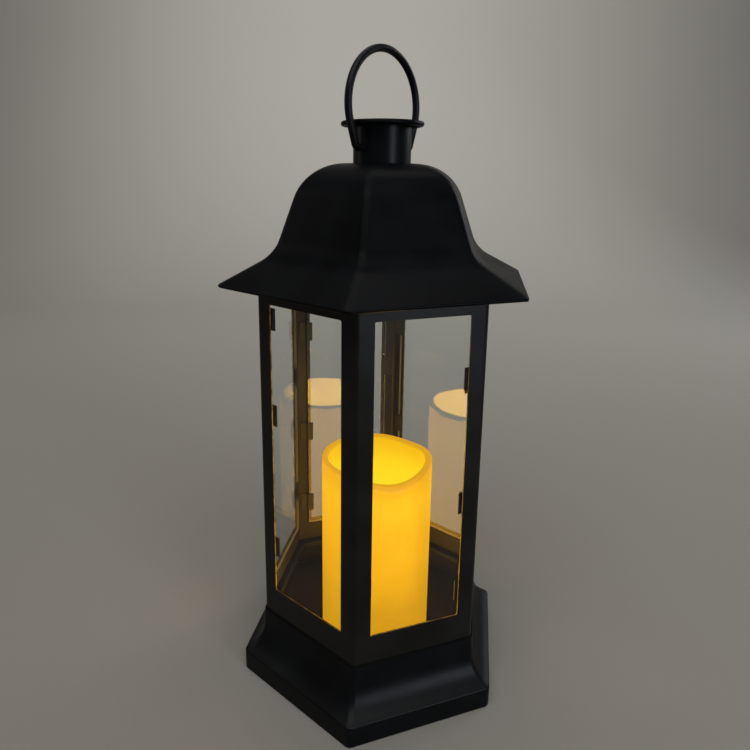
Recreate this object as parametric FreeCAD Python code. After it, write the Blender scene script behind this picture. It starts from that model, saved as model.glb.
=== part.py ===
"""Hexagonal metal and glass lantern with an electric pillar candle.

Millimetres, +Z up. The origin is on the ground under the centre of the lantern. A corner of the
hexagon points along -Y, and a face points along +X. Angles are in degrees.
"""
import FreeCAD, Part
import os
from math import cos, pi, radians, sin, tan
from FreeCAD import Matrix, Vector

# Hexagon
faces = 6
face_turn = 360 / faces
half_turn = face_turn / 2
body_side = 80.0
body_apothem = body_side * cos(radians(half_turn))
sheet = 0.9
overrun = 5.0
fit_gap = 0.1
seat_gap = 0.3
parallel_share = 0.99
right_angle = 90

# Base moulding: a pressed skirt with a plinth, a hollow curve and a turned-in top
plinth_reach = 13.5
plinth_height = 14.6
foot_flange = 6.5
foot_bend = 1.2
plinth_edge_bend = 1.2
plinth_edge_turn = 64
cove_radius = 19.5
cove_turn = 60
ledge_height = 44.3
ledge_bend = 1.0
ledge_width = 5.2
ledge_lip_bend = 1.2
ledge_lip = 3.0
base_crease = 1.8

# Floor plate, held inside the plinth
floor_sheet = 1.0
floor_flange = 6.0
floor_height = 13.4

# Window body: one sheet bent round six corners
body_bend = 3.5
window_rail = 10.7
window_low = 63.0
window_high = 258.5
window_corner = 1.2
seam_slit = 0.35
seam_inset = 3.4
ear_width = 14.0
ear_length = 9.0
ear_bend = 0.6
foot_tab_width = 12.0
foot_tab_length = 2.6
foot_tab_bend = 0.3
slot_gap = 0.12

# Glass panes and the clips that hold them
pane_thickness = 2.0
pane_lap = 2.5
clip_sheet = 0.6
clip_height = 14.0
clip_corner_gap = 0.5
clip_finger_reach = 1.2
clip_left_shares = (0.95, 0.63, 0.155)
clip_right_shares = (0.8, 0.39, 0.08)

# Roof: a six-sided bell with a hemmed eave
roof_top = 342.0
roof_flat_apothem = 21.0
roof_shoulder_radius = 30.0
roof_flank_lean = 18
roof_flank_length = 26.0
roof_cove_radius = 24.0
eave_slope = 30
eave_reach = 20.4
hem_radius = 1.1
hem_width = 4.0
roof_crease = 2.2

# Neck tube and its cap
neck_radius = 18.0
neck_wall = 0.9
neck_flange_radius = 20.4
neck_height = 24.4
cap_radius = 25.7
cap_curl_radius = 1.6
cap_curl_sides = 8
cap_sheet = 0.7
cap_skirt = 5.0

# Bail: one round wire, bent to a ring whose ends turn into the neck
wire_radius = 2.3
bail_axis_angle = 60
pivot_rise = 9.0
bail_ring_radius = 33.2
bail_ring_rise = 25.2
bail_leg_angle = 20
bail_end_bend = 3.5
bail_pin_reach = 14.3
bail_side_play = 1.5

# Candle: outer shell, well with its lamp, and the battery housing below
candle_radius = 38.1
candle_wall = 5.0
candle_height = 132.6
candle_dip = 7.0
candle_lip_bevel = 1.1
candle_dip_turn = -60
rim_back_share = 0.5
rim_crest_share = 0.25
rim_knee_share = 0.6
rim_knee_drop_share = 0.17
rim_far_share = 2.0
well_depth = 33.6
well_wall = 1.6
well_rim = 6.0
lamp_radius = 2.5
lamp_flange_radius = 2.9
lamp_flange = 1.0
lamp_height = 8.6
nose_share = 0.71
post_wall = 1.2
post_foot_radius = 9.0
post_foot = 1.6
lead_radius = 0.6
lead_spacing = 2.54
lead_bend = 3.0
lead_rise = 3.0
lead_gap = 0.4

# Battery housing and its screws
housing_flange = 1.6
housing_height = 20.0
housing_floor = 1.5
opening_radius = 32.2
screw_radius = 1.5
screw_head_radius = 2.7
screw_head = 1.6
screw_length = 11.0
screw_tip_room = 1.0
screw_count = 3
screw_first_turn = 30

# Two AAA cells and their spring leaves
cell_radius = 5.25
cell_length = 43.7
cell_nub_radius = 1.9
cell_nub = 0.8
cell_gap = 0.3
contact_sheet = 0.4
contact_width = 7.0
contact_height = 8.6
leaf_bend = 0.4
leaf_fold_angle = 170
leaf_length = 6.5
leaf_space = 2.8

# Battery cover: a round lid with three bayonet lugs
cover_radius = 27.2
cover_thickness = 2.4
cover_offset = 3.4
cover_gap = 0.3
lug_count = 3
lug_reach = 1.5
lug_thickness = 1.0
lug_span = 22
lug_spare = 3
lug_gap = 0.2
twist_range = 30
coin_slot_length = 16.0
coin_slot_width = 2.2
coin_slot_depth = 0.9

# Slide switch and circuit board
switch_offset = 28.8
switch_can_length = 12.0
switch_can_width = 5.0
switch_can_height = 4.0
switch_can_wall = 0.5
knob_length = 4.0
knob_width = 2.6
knob_proud = 1.2
collar_length = 6.0
collar_width = 3.4
collar_thickness = 1.2
collar_gap = 0.3
switch_travel = 4.0
board_length = 21.6
board_width = 20.0
board_thickness = 1.6
board_near = 10.6

# Places worked out from the sizes above
body_inner = body_apothem - sheet
plinth_apothem = body_apothem + plinth_reach
floor_bend = 2 * base_crease
window_width = body_side - 2 * window_rail
pane_edge = window_width / 2 + pane_lap
roof_inner_top = roof_top - sheet
neck_top = roof_top + neck_height
pivot_height = roof_top + pivot_rise
shell_bottom = floor_height + housing_flange
candle_top = floor_height + candle_height
shell_inner = candle_radius - candle_wall
well_floor = candle_top - well_depth
well_under = well_floor - well_wall
housing_radius = shell_inner - fit_gap
housing_top = floor_height + housing_height
cell_axis = floor_height + cover_thickness + cell_gap + cell_radius
cell_pitch = 2 * cell_radius + cell_gap
plus_space = contact_sheet + fit_gap
bay_length = cell_length + cell_nub + leaf_space + plus_space
bay_width = cell_pitch + 2 * cell_radius + 2 * cell_gap
bay_top = cell_axis + cell_radius + cell_gap
can_low = floor_height + housing_floor
board_low = can_low + switch_can_height


def point(x, z):
    """A point of a section, drawn in the XZ plane."""
    return Vector(x, 0, z)


def traced(start, heading, moves, offset):
    """Edges along a path, set off to its left. A move is (length,) or (radius, turn to the left)."""
    angle = radians(heading)
    x = start[0] - offset * sin(angle)
    z = start[1] + offset * cos(angle)
    edges = []
    for move in moves:
        if len(move) == 1:
            end_x = x + move[0] * cos(angle)
            end_z = z + move[0] * sin(angle)
            edges.append(Part.makeLine(point(x, z), point(end_x, end_z)))
        else:
            side = 1 if move[1] > 0 else -1
            radius = side * (move[0] - side * offset)
            centre_x = x - radius * sin(angle)
            centre_z = z + radius * cos(angle)
            middle = angle + radians(move[1]) / 2
            angle = angle + radians(move[1])
            end_x = centre_x + radius * sin(angle)
            end_z = centre_z - radius * cos(angle)
            through = point(centre_x + radius * sin(middle), centre_z - radius * cos(middle))
            edges.append(Part.Arc(point(x, z), through, point(end_x, end_z)).toShape())
        x = end_x
        z = end_z
    return edges


def sheet_section(start, heading, moves, thickness):
    """Closed section of a bent sheet whose right-hand face is the path drawn."""
    right = traced(start, heading, moves, 0)
    left = traced(start, heading, moves, thickness)
    first = Part.makeLine(right[0].firstVertex().Point, left[0].firstVertex().Point)
    last_right = right[-1].valueAt(right[-1].LastParameter)
    last_left = left[-1].valueAt(left[-1].LastParameter)
    last = Part.makeLine(last_right, last_left)
    return Part.Face(Part.Wire(Part.__sortEdges__(right + left + [first, last])))


def outline(points):
    """Closed face through points given as (x, z)."""
    corners = [point(x, z) for x, z in points]
    return Part.Face(Part.makePolygon(corners + [corners[0]]))


def turned(section):
    """Full turn of a section about the lantern's axis."""
    return section.revolve(Vector(0, 0, 0), Vector(0, 0, 1), 360)


def about_axis(shape, angle):
    """Copy of a shape, turned about the lantern's axis."""
    copy = shape.copy()
    copy.rotate(Vector(0, 0, 0), Vector(0, 0, 1), angle)
    return copy


def moved(shape, x, y, z):
    """Copy of a shape, moved."""
    copy = shape.copy()
    copy.translate(Vector(x, y, z))
    return copy


def block(low, high):
    """Box between two corners."""
    size = [high[i] - low[i] for i in range(3)]
    return Part.makeBox(size[0], size[1], size[2], Vector(*low))


def disc(radius, low, high):
    """Upright cylinder on the lantern's axis."""
    return Part.makeCylinder(radius, high - low, Vector(0, 0, low))


def hexagon_prism(apothem, bend, low, high):
    """Upright hexagonal prism with rounded corners."""
    corner = apothem / cos(radians(half_turn))
    corners = []
    for k in range(faces + 1):
        angle = radians(half_turn + k * face_turn)
        corners.append(Vector(corner * cos(angle), corner * sin(angle), low))
    prism = Part.Face(Part.makePolygon(corners)).extrude(Vector(0, 0, high - low))
    if bend == 0:
        return prism
    upright = [edge for edge in prism.Edges if abs(edge.tangentAt(edge.FirstParameter).z) > parallel_share]
    return prism.makeFillet(bend, upright)


def moulding(section, crease, reach, low, high):
    """Section drawn at the middle of a face, carried round six faces and the flats between them."""
    half = (reach - crease) * tan(radians(half_turn))
    run = moved(section, 0, -reach, 0).extrude(Vector(0, 2 * reach, 0))
    corners = [Vector(crease, 0, low), Vector(reach, -half, low), Vector(reach, half, low), Vector(crease, 0, low)]
    panel = run.common(Part.Face(Part.makePolygon(corners)).extrude(Vector(0, 0, high - low)))
    stretch = Matrix()
    stretch.A11 = 1 / cos(radians(half_turn))
    end = about_axis(moved(section, -crease, 0, 0).transformGeometry(stretch), half_turn)
    across = on_circle(crease, face_turn) - on_circle(crease, 0)
    flat = moved(end, crease, 0, 0).extrude(across)
    parts = on_every_face(panel) + on_every_face(flat)
    return parts[0].multiFuse(parts[1:]).removeSplitter().Solids[0]


def on_circle(radius, angle):
    """Point at an angle on a level circle about the lantern's axis."""
    return Vector(radius * cos(radians(angle)), radius * sin(radians(angle)), 0)


def on_every_face(shape):
    """The shape of the +X face, repeated on all six."""
    return [about_axis(shape, k * face_turn) for k in range(faces)]


def rounded_window(width, low, high, corner, near, far):
    """Cutter for an upright window of the +X face, with rounded corners."""
    cutter = block((near, -width / 2, low), (far, width / 2, high))
    across = [edge for edge in cutter.Edges if abs(edge.tangentAt(edge.FirstParameter).x) > parallel_share]
    return cutter.makeFillet(corner, across)


def save(shape, name):
    """Writes one named piece."""
    shape.exportStep("parts/" + name + ".step")


def base_shell():
    """Skirt of pressed sheet: foot flange, plinth, hollow curve, turned-in ledge and its lip."""
    plinth_rise = plinth_height - foot_bend - plinth_edge_bend * sin(radians(plinth_edge_turn))
    edge_heading = right_angle + plinth_edge_turn
    wall_heading = edge_heading - cove_turn
    cove_rise = cove_radius * (sin(radians(edge_heading - right_angle)) - sin(radians(wall_heading - right_angle)))
    top_turn = 180 - wall_heading
    bend_rise = ledge_bend * (cos(radians(wall_heading)) + 1)
    wall_run = (ledge_height - bend_rise - plinth_height - cove_rise) / sin(radians(wall_heading))
    moves = [
        (foot_flange - foot_bend,),
        (foot_bend, right_angle),
        (plinth_rise,),
        (plinth_edge_bend, plinth_edge_turn),
        (cove_radius, -cove_turn),
        (wall_run,),
        (ledge_bend, top_turn),
        (ledge_width - ledge_lip_bend,),
        (ledge_lip_bend, right_angle),
        (ledge_lip,),
    ]
    section = sheet_section((plinth_apothem - foot_flange, 0), 0, moves, sheet)
    shell = moulding(section, base_crease, plinth_apothem + overrun, -overrun, ledge_height + overrun)
    slot_inner = body_inner - foot_tab_bend - slot_gap
    slot_outer = body_apothem + slot_gap
    slot_half = foot_tab_width / 2 + slot_gap
    slot = block((slot_inner, -slot_half, ledge_height - sheet), (slot_outer, slot_half, ledge_height + overrun))
    return shell.cut(Part.makeCompound(on_every_face(slot)))


def floor_plate():
    """Hexagonal plate with a flange turned down inside the plinth, open under the candle."""
    plate_apothem = plinth_apothem - sheet - fit_gap
    solid = hexagon_prism(plate_apothem, floor_bend, floor_height - floor_flange, floor_height)
    hollow = hexagon_prism(
        plate_apothem - floor_sheet, floor_bend - floor_sheet,
        floor_height - floor_flange - overrun, floor_height - floor_sheet)
    opening = disc(opening_radius, 0, floor_height + overrun)
    screw_hole = disc(screw_radius + fit_gap, 0, floor_height + overrun)
    return solid.cut(hollow).cut(opening).cut(at_screws(screw_hole))


def ear_bend_height():
    """Height where the ears start, so that they lie against the underside of the eave."""
    slope = radians(eave_slope)
    eave_x, eave_z = eave_start()
    under_eave = eave_x * sin(slope) + eave_z * cos(slope) - sheet
    centre_x = body_apothem + ear_bend
    return (under_eave - ear_bend - sheet - centre_x * sin(slope)) / cos(slope)


def eave_start():
    """Point of the outer roof line where the straight eave begins."""
    lean = radians(right_angle - roof_flank_lean)
    slope = radians(eave_slope)
    x = roof_flat_apothem + roof_shoulder_radius * sin(lean) + roof_flank_length * cos(lean)
    z = roof_top - roof_shoulder_radius * (1 - cos(lean)) - roof_flank_length * sin(lean)
    x = x + roof_cove_radius * (sin(lean) - sin(slope))
    z = z - roof_cove_radius * (cos(slope) - cos(lean))
    return x, z


def window_body():
    """One sheet bent round six corners, with six windows, a seam, ears for the roof and foot tabs."""
    top = ear_bend_height()
    body = hexagon_prism(body_apothem, body_bend, ledge_height, top)
    body = body.cut(hexagon_prism(body_inner, body_bend - sheet, ledge_height - overrun, top + overrun))
    window = rounded_window(
        window_width, window_low, window_high, window_corner, body_inner - overrun, body_apothem + overrun)
    body = body.cut(Part.makeCompound(on_every_face(window)))
    half_side = body_apothem * tan(radians(half_turn))
    seam_y = half_side - seam_inset
    seam = block(
        (body_inner - overrun, seam_y - seam_slit, ledge_height - overrun),
        (body_apothem + overrun, seam_y, top + overrun))
    body = body.cut(about_axis(seam, face_turn))
    ear_moves = [(ear_bend, -right_angle - eave_slope), (ear_length,)]
    ear = sheet_section((body_apothem, top), right_angle, ear_moves, sheet)
    ear = moved(ear, 0, -ear_width / 2, 0).extrude(Vector(0, ear_width, 0))
    drop = sheet - foot_tab_bend
    tab_moves = [(drop,), (foot_tab_bend, -right_angle), (foot_tab_length,)]
    tab = sheet_section((body_inner, ledge_height), -right_angle, tab_moves, sheet)
    tab = moved(tab, 0, -foot_tab_width / 2, 0).extrude(Vector(0, foot_tab_width, 0))
    return body.multiFuse(on_every_face(ear) + on_every_face(tab)).removeSplitter().Solids[0]


def pane():
    """Clear pane behind the window of the +X face."""
    low = window_low - pane_lap
    high = window_high + pane_lap
    return block((body_inner - pane_thickness, -pane_edge, low), (body_inner, pane_edge, high))


def pane_clip():
    """Bent strip: a foot on the sheet, a step round the pane's edge and a finger over its back."""
    back = body_inner - pane_thickness
    near_web = pane_edge + fit_gap
    far_web = near_web + clip_sheet
    tip = window_width / 2 - clip_finger_reach
    foot = (body_inner - body_bend + sheet) * tan(radians(half_turn)) - clip_corner_gap
    strip = outline([
        (body_inner, foot),
        (body_inner, near_web),
        (back, near_web),
        (back, tip),
        (back - clip_sheet, tip),
        (back - clip_sheet, far_web),
        (body_inner - clip_sheet, far_web),
        (body_inner - clip_sheet, foot),
    ])
    strip.rotate(Vector(0, 0, 0), Vector(1, 0, 0), -right_angle)
    return strip.extrude(Vector(0, 0, clip_height))


def pane_clips():
    """Three clips on each side of every pane."""
    right = pane_clip()
    left = right.mirror(Vector(0, 0, 0), Vector(0, 1, 0))
    window_height = window_high - window_low
    clips = []
    for shape, shares in ((left, clip_left_shares), (right, clip_right_shares)):
        for share in shares:
            height = window_low + share * window_height - clip_height / 2
            clips = clips + on_every_face(moved(shape, 0, 0, height))
    return Part.makeCompound(clips)


def roof_shell():
    """Bell roof of pressed sheet: folded hem, eave, hollow curve, flank, round shoulder, flat top."""
    slope = radians(eave_slope)
    eave_x, eave_z = eave_start()
    tip_x = body_apothem + eave_reach
    eave_length = (tip_x - eave_x) / cos(slope)
    tip_z = eave_z - eave_length * sin(slope)
    start_x = tip_x - 2 * hem_radius * sin(slope) - hem_width * cos(slope)
    start_z = tip_z - 2 * hem_radius * cos(slope) + hem_width * sin(slope)
    moves = [
        (hem_width,),
        (hem_radius, 180),
        (eave_length,),
        (roof_cove_radius, eave_slope + roof_flank_lean - right_angle),
        (roof_flank_length,),
        (roof_shoulder_radius, right_angle - roof_flank_lean),
        (roof_flat_apothem - neck_radius + overrun,),
    ]
    section = sheet_section((start_x, start_z), -eave_slope, moves, sheet)
    roof = moulding(section, roof_crease, tip_x + overrun, tip_z - overrun, roof_top + overrun)
    return roof.cut(disc(neck_radius + fit_gap, roof_top - overrun, roof_top + overrun))


def neck_tube():
    """Tube through the roof, flanged under it, with two holes for the bail's ends."""
    low = roof_inner_top - sheet
    section = outline([
        (neck_radius - neck_wall, low),
        (neck_flange_radius, low),
        (neck_flange_radius, roof_inner_top),
        (neck_radius, roof_inner_top),
        (neck_radius, neck_top),
        (neck_radius - neck_wall, neck_top),
    ])
    tube = turned(section)
    hole = Part.makeCylinder(
        wire_radius + fit_gap, 2 * (neck_radius + overrun),
        Vector(-neck_radius - overrun, 0, pivot_height), Vector(1, 0, 0))
    return tube.cut(about_axis(hole, bail_axis_angle))


def neck_cap():
    """Flat cap with a rolled rim, and a skirt that plugs the neck."""
    bead = cap_radius - cap_curl_radius
    bead_z = neck_top + cap_sheet - cap_curl_radius
    flat = cap_curl_radius * cos(pi / cap_curl_sides)
    rim = [(bead, bead_z - flat), (bead, bead_z + flat)]
    for k in range(cap_curl_sides // 2):
        turn = (2 * k + 1) * pi / cap_curl_sides
        rim.append((bead + cap_curl_radius * sin(turn), bead_z + cap_curl_radius * cos(turn)))
    top = disc(bead, neck_top, neck_top + cap_sheet)
    skirt_outer = neck_radius - neck_wall - fit_gap
    skirt = outline([
        (skirt_outer - cap_sheet, neck_top - cap_skirt),
        (skirt_outer, neck_top - cap_skirt),
        (skirt_outer, neck_top + cap_sheet / 2),
        (skirt_outer - cap_sheet, neck_top + cap_sheet / 2),
    ])
    return top.multiFuse([turned(outline(rim)), turned(skirt)]).removeSplitter().Solids[0]


def bail():
    """Round wire: straight ends in the neck, a bend, a leaning leg and a ring over the top."""
    lean = radians(bail_leg_angle)
    ring_z = pivot_height + bail_ring_rise
    touch_x = bail_ring_radius * cos(lean)
    touch_z = ring_z - bail_ring_radius * sin(lean)
    foot_x = touch_x - (touch_z - pivot_height) * tan(lean)
    cut_back = bail_end_bend * tan(radians(right_angle - bail_leg_angle) / 2)
    bend_x = foot_x - cut_back
    bend_z = pivot_height + bail_end_bend
    bend_end_x = bend_x + bail_end_bend * cos(lean)
    bend_end_z = bend_z - bail_end_bend * sin(lean)
    middle = -radians(right_angle + bail_leg_angle) / 2
    right = [
        Part.makeLine(point(bail_pin_reach, pivot_height), point(bend_x, pivot_height)),
        Part.Arc(
            point(bend_x, pivot_height),
            point(bend_x + bail_end_bend * cos(middle), bend_z + bail_end_bend * sin(middle)),
            point(bend_end_x, bend_end_z)).toShape(),
        Part.makeLine(point(bend_end_x, bend_end_z), point(touch_x, touch_z)),
        Part.Arc(
            point(touch_x, touch_z),
            point(bail_ring_radius * cos(radians(half_turn)), ring_z + bail_ring_radius * sin(radians(half_turn))),
            point(0, ring_z + bail_ring_radius)).toShape(),
    ]
    profile = Part.Wire(Part.makeCircle(wire_radius, point(bail_pin_reach, pivot_height), Vector(1, 0, 0)))
    half = Part.Wire(right).makePipeShell([profile], True, True)
    wire = half.fuse(about_axis(half, 180)).removeSplitter().Solids[0]
    return about_axis(moved(wire, bail_side_play, 0, 0), bail_axis_angle)


def candle_shell():
    """Hollow pillar whose rim is cut by an arched surface that dips to one side, with bevelled lips."""
    tube = disc(candle_radius, shell_bottom, candle_top + overrun).cut(
        disc(shell_inner, shell_bottom - overrun, candle_top + 2 * overrun))
    far = candle_radius + overrun
    sky = candle_top + 2 * overrun
    back = point(-far, candle_top - rim_back_share * candle_dip)
    front = point(far, candle_top - rim_far_share * candle_dip)
    melted = Part.BSplineCurve()
    melted.interpolate([
        back,
        point(-rim_crest_share * candle_radius, candle_top),
        point(rim_knee_share * candle_radius, candle_top - rim_knee_drop_share * candle_dip),
        point(candle_radius - candle_lip_bevel, candle_top - candle_dip),
        front,
    ])
    rim = [
        melted.toShape(),
        Part.makeLine(front, point(far, sky)),
        Part.makeLine(point(far, sky), point(-far, sky)),
        Part.makeLine(point(-far, sky), back),
    ]
    above = moved(Part.Face(Part.Wire(rim)), 0, -far, 0).extrude(Vector(0, 2 * far, 0))
    shell = tube.cut(about_axis(above, candle_dip_turn))
    lips = [edge for edge in shell.Edges if edge.BoundBox.ZMin > candle_top - 3 * candle_dip]
    shell = shell.makeChamfer(candle_lip_bevel, lips)
    pilot = disc(screw_radius + fit_gap / 2, shell_bottom - overrun, screw_tip() + screw_tip_room)
    return shell.cut(at_screws(pilot))


def candle_well():
    """Translucent disc with an upstanding edge that closes the pillar below its rim and holds the lamp."""
    outer = shell_inner - fit_gap
    lamp_hole = lamp_radius + fit_gap
    section = outline([
        (lamp_hole, well_floor),
        (outer - well_wall, well_floor),
        (outer - well_wall, well_floor + well_rim),
        (outer, well_floor + well_rim),
        (outer, well_under),
        (lamp_hole, well_under),
    ])
    return turned(section)


def lamp_post():
    """Tube on the battery housing that carries the lamp, notched for the leads."""
    inner = lamp_flange_radius + fit_gap
    section = outline([
        (inner, housing_top),
        (post_foot_radius, housing_top),
        (post_foot_radius, housing_top + post_foot),
        (inner + post_wall, housing_top + post_foot),
        (inner + post_wall, well_under),
        (inner, well_under),
    ])
    half = lead_spacing / 2 + lead_radius + lead_gap
    notch_top = lead_height() + lead_radius + lead_bend
    notch = block((-half, -inner - post_wall - lead_gap, housing_top + post_foot), (half, 0, notch_top))
    return turned(section).cut(notch)


def lead_height():
    """Height where the leads cross the battery housing."""
    return housing_top + lead_rise


def flame_lamp():
    """Lamp with a bevelled, pointed nose and a flange at its base."""
    base = well_under - lamp_flange
    nose_z = base + lamp_height - lamp_radius
    return turned(outline([
        (0, base),
        (lamp_flange_radius, base),
        (lamp_flange_radius, base + lamp_flange),
        (lamp_radius, base + lamp_flange),
        (lamp_radius, nose_z),
        (nose_share * lamp_radius, nose_z + nose_share * lamp_radius),
        (0, base + lamp_height),
    ]))


def lamp_leads():
    """Two insulated leads from the lamp down the post, out through its notch and down to the board."""
    base = well_under - lamp_flange
    landing = board_low + board_thickness
    drop_x = board_near + 2 * lead_bend
    path = Part.makePolygon([
        point(0, base),
        point(0, lead_height()),
        point(drop_x, lead_height()),
        point(drop_x, landing),
    ])
    profile = Part.Wire(Part.makeCircle(lead_radius, point(0, base), Vector(0, 0, 1)))
    lead = about_axis(path.makePipeShell([profile], True, False, 1), -right_angle)
    return Part.makeCompound([moved(lead, side * lead_spacing / 2, 0, 0) for side in (-1, 1)])


def screw_tip():
    """Height of the candle screws' tips."""
    return floor_height - floor_sheet + screw_length


def at_screws(shape):
    """A shape on the axis, copied to the screws, which are spread round the candle's wall."""
    ring = (shell_inner + candle_radius) / 2
    row = [about_axis(moved(shape, ring, 0, 0), screw_first_turn + k * 360 / screw_count)
           for k in range(screw_count)]
    return Part.makeCompound(row)


def candle_screws():
    """Screws up through the floor plate and the housing's flange into the candle's wall."""
    under = floor_height - floor_sheet
    shank = disc(screw_radius, under - screw_head / 2, screw_tip())
    head = disc(screw_head_radius, under - screw_head, under)
    return at_screws(shank.fuse(head).removeSplitter().Solids[0])


def sectors(inner, outer, low, high, span):
    """Ring sectors for the bayonet lock, centred on even turns from the +X direction."""
    ring = outline([(inner, low), (outer, low), (outer, high), (inner, high)])
    sector = about_axis(ring.revolve(Vector(0, 0, 0), Vector(0, 0, 1), span), -span / 2)
    return [about_axis(sector, k * 360 / lug_count) for k in range(lug_count)]


def battery_housing():
    """Moulded foot of the candle: flange, barrel, battery bay, bayonet seat, switch slot, board well."""
    body = disc(candle_radius, floor_height, shell_bottom).fuse(disc(housing_radius, floor_height, housing_top))
    lug_top = floor_height + cover_thickness
    lug_low = lug_top - lug_thickness - lug_gap
    seat_top = lug_top + lug_gap
    groove_radius = cover_radius + lug_reach + cover_gap
    low = floor_height - overrun
    seat = disc(cover_radius + cover_gap, low, seat_top).fuse(disc(groove_radius, lug_low, seat_top))
    entries = sectors(cover_radius - overrun, groove_radius, low, seat_top, lug_span + lug_spare)
    seat = seat.multiFuse([about_axis(entry, -twist_range) for entry in entries])
    bay = block((-bay_length / 2, -bay_width / 2, low), (bay_length / 2, bay_width / 2, bay_top))
    knob_half_x = (knob_length + switch_travel) / 2 + seat_gap
    knob_half_y = knob_width / 2 + seat_gap
    slot = block((-knob_half_x, -knob_half_y, low), (knob_half_x, knob_half_y, can_low + overrun))
    can_half_x = switch_can_length / 2 + fit_gap
    can_half_y = switch_can_width / 2 + fit_gap
    can_room = block((-can_half_x, -can_half_y, can_low), (can_half_x, can_half_y, housing_top + overrun))
    board_half = board_length / 2 + fit_gap
    board_well = block(
        (-board_half, -board_near - board_width - fit_gap, board_low),
        (board_half, -board_near + fit_gap, housing_top + overrun))
    rooms = [
        moved(seat, 0, cover_offset, 0),
        moved(bay, 0, cover_offset, 0),
        moved(slot, 0, -switch_offset, 0),
        moved(can_room, 0, -switch_offset, 0),
        board_well,
    ]
    for room in rooms:
        body = body.cut(room)
    return body.cut(at_screws(disc(screw_radius + fit_gap, low, shell_bottom + overrun)))


def battery_cover():
    """Round lid with three lugs in the bayonet groove and a coin slot across its face."""
    top = floor_height + cover_thickness
    lid = disc(cover_radius, floor_height, top)
    lugs = sectors(cover_radius - overrun, cover_radius + lug_reach, top - lug_thickness, top, lug_span)
    slot = block(
        (-coin_slot_length / 2, -coin_slot_width / 2, floor_height - overrun),
        (coin_slot_length / 2, coin_slot_width / 2, floor_height + coin_slot_depth))
    lid = lid.multiFuse(lugs).removeSplitter().cut(slot)
    return moved(lid, 0, cover_offset, 0).Solids[0]


def cell(side):
    """AAA cell lying along X, plus end towards +X on side 1 and towards -X on side -1."""
    start = -bay_length / 2 + leaf_space
    can = Part.makeCylinder(cell_radius, cell_length, Vector(start, 0, 0), Vector(1, 0, 0))
    nub = Part.makeCylinder(cell_nub_radius, cell_nub, Vector(start + cell_length, 0, 0), Vector(1, 0, 0))
    shape = can.fuse(nub).Solids[0]
    if side < 0:
        shape = about_axis(shape, 180)
    return moved(shape, 0, cover_offset + side * cell_pitch / 2, cell_axis)


def battery_contacts():
    """A spring leaf at the minus end and a plate at the plus end of each cell."""
    half = bay_length / 2
    low = cell_axis - contact_height / 2
    run = contact_height - leaf_bend - contact_sheet
    leaf = sheet_section(
        (contact_sheet - half, low), right_angle,
        [(run,), (leaf_bend, -leaf_fold_angle), (leaf_length,)], contact_sheet)
    leaf = moved(leaf, 0, -contact_width / 2, 0).extrude(Vector(0, contact_width, 0))
    plate = block(
        (half - contact_sheet, -contact_width / 2, low), (half, contact_width / 2, low + contact_height))
    pair = Part.makeCompound([leaf, plate])
    near = moved(pair, 0, cover_offset + cell_pitch / 2, 0)
    far = moved(about_axis(pair, 180), 0, cover_offset - cell_pitch / 2, 0)
    return Part.makeCompound([near, far])


def switch_can():
    """Metal case of the slide switch, slotted below for its knob."""
    half_x = switch_can_length / 2
    half_y = switch_can_width / 2
    wall = switch_can_wall
    case = block((-half_x, -half_y, can_low), (half_x, half_y, board_low))
    inside = block((wall - half_x, wall - half_y, can_low + wall), (half_x - wall, half_y - wall, board_low - wall))
    slot_x = (knob_length + switch_travel) / 2 + collar_gap
    slot_y = knob_width / 2 + collar_gap / 2
    slot = block((-slot_x, -slot_y, can_low - overrun), (slot_x, slot_y, can_low + wall + collar_gap))
    return moved(case.cut(inside).cut(slot), 0, -switch_offset, 0)


def switch_knob():
    """Knob of the slide switch, with a collar inside the case, drawn at its on end."""
    collar_low = can_low + switch_can_wall + collar_gap / 2
    stem = block(
        (-knob_length / 2, -knob_width / 2, floor_height - knob_proud),
        (knob_length / 2, knob_width / 2, collar_low + collar_thickness))
    collar = block(
        (-collar_length / 2, -collar_width / 2, collar_low),
        (collar_length / 2, collar_width / 2, collar_low + collar_thickness))
    return moved(stem.fuse(collar).removeSplitter().Solids[0], switch_travel / 2, -switch_offset, 0)


def circuit_board():
    """Small board that lies on the switch case beside the battery bay."""
    return block(
        (-board_length / 2, -board_near - board_width, board_low),
        (board_length / 2, -board_near, board_low + board_thickness))


os.makedirs("parts", exist_ok=True)
save(base_shell(), "base_shell")
save(floor_plate(), "floor_plate")
save(window_body(), "window_body")
for number, glass in enumerate(on_every_face(pane())):
    save(glass, "pane_" + str(number + 1))
save(pane_clips(), "pane_clips")
save(roof_shell(), "roof_shell")
save(neck_tube(), "neck_tube")
save(neck_cap(), "neck_cap")
save(bail(), "bail")
save(candle_shell(), "candle_shell")
save(candle_well(), "candle_well")
save(lamp_post(), "lamp_post")
save(flame_lamp(), "flame_lamp")
save(lamp_leads(), "lamp_leads")
save(candle_screws(), "candle_screws")
save(battery_housing(), "battery_housing")
save(battery_cover(), "battery_cover")
save(cell(1), "battery_1")
save(cell(-1), "battery_2")
save(battery_contacts(), "battery_contacts")
save(switch_can(), "switch_can")
save(switch_knob(), "switch_knob")
save(circuit_board(), "circuit_board")
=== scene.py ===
"""The hexagonal lantern's looks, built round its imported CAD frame.

Metres, +Z up, with the lantern's axis on Z and a corner of the hexagon towards -Y.
"""

import math
import bmesh
import bpy
from mathutils import Matrix, Vector


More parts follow.
